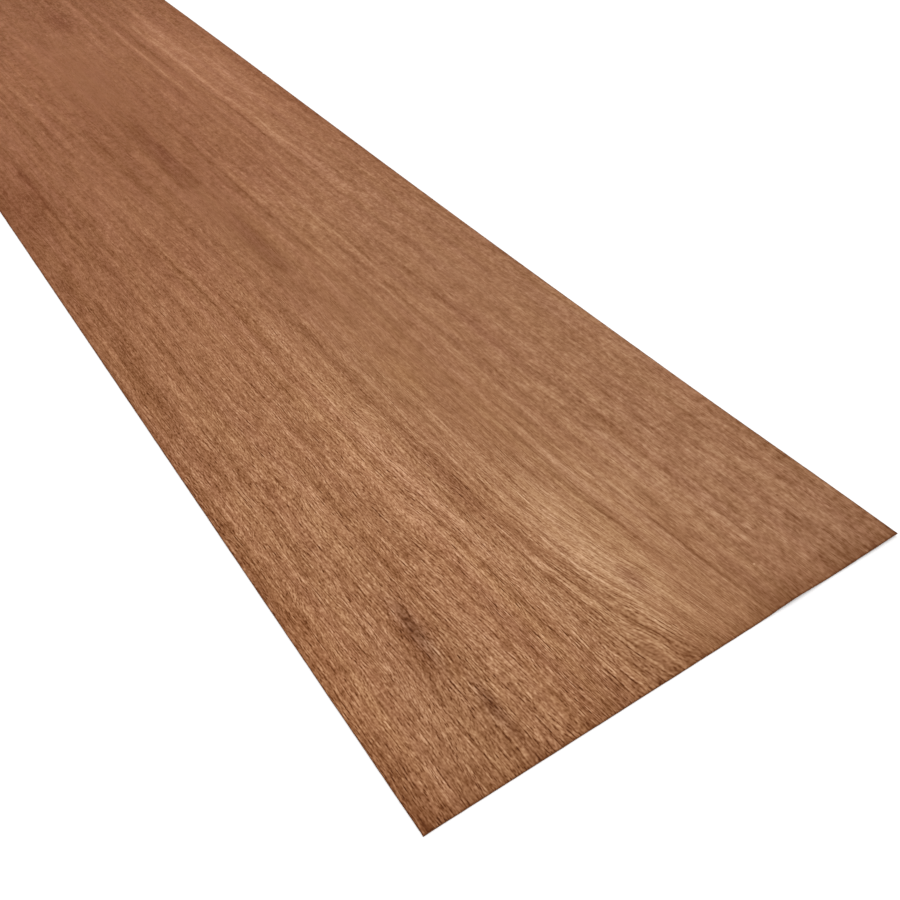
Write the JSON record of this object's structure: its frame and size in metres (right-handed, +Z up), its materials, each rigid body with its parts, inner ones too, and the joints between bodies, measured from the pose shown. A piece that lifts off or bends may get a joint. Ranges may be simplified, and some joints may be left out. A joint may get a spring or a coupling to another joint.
{
  "type": "wood veneer sheet",
  "caption": "Thin leaf of sliced reddish-brown wood veneer, lying face up with a gently lifted long edge, for gluing onto a panel as its show face.",
  "frame": {"origin": "on the floor under the middle of the leaf: the centre of its outline, at the level of the flat underside", "axes": "+X along the grain towards the end that the picture shows nearest, +Y across the grain towards the bowed long edge, +Z up, out of the show face"},
  "size_m": [1.2192, 0.254, 0.0086],
  "materials": {
    "veneer": "raw sliced face, matt with a slight sheen along the grain, short dark open pores and soft lighter and darker bands"
  },
  "bodies": {
    "root": {"veneer_sheet": "veneer"}
  },
  "joints": []
}
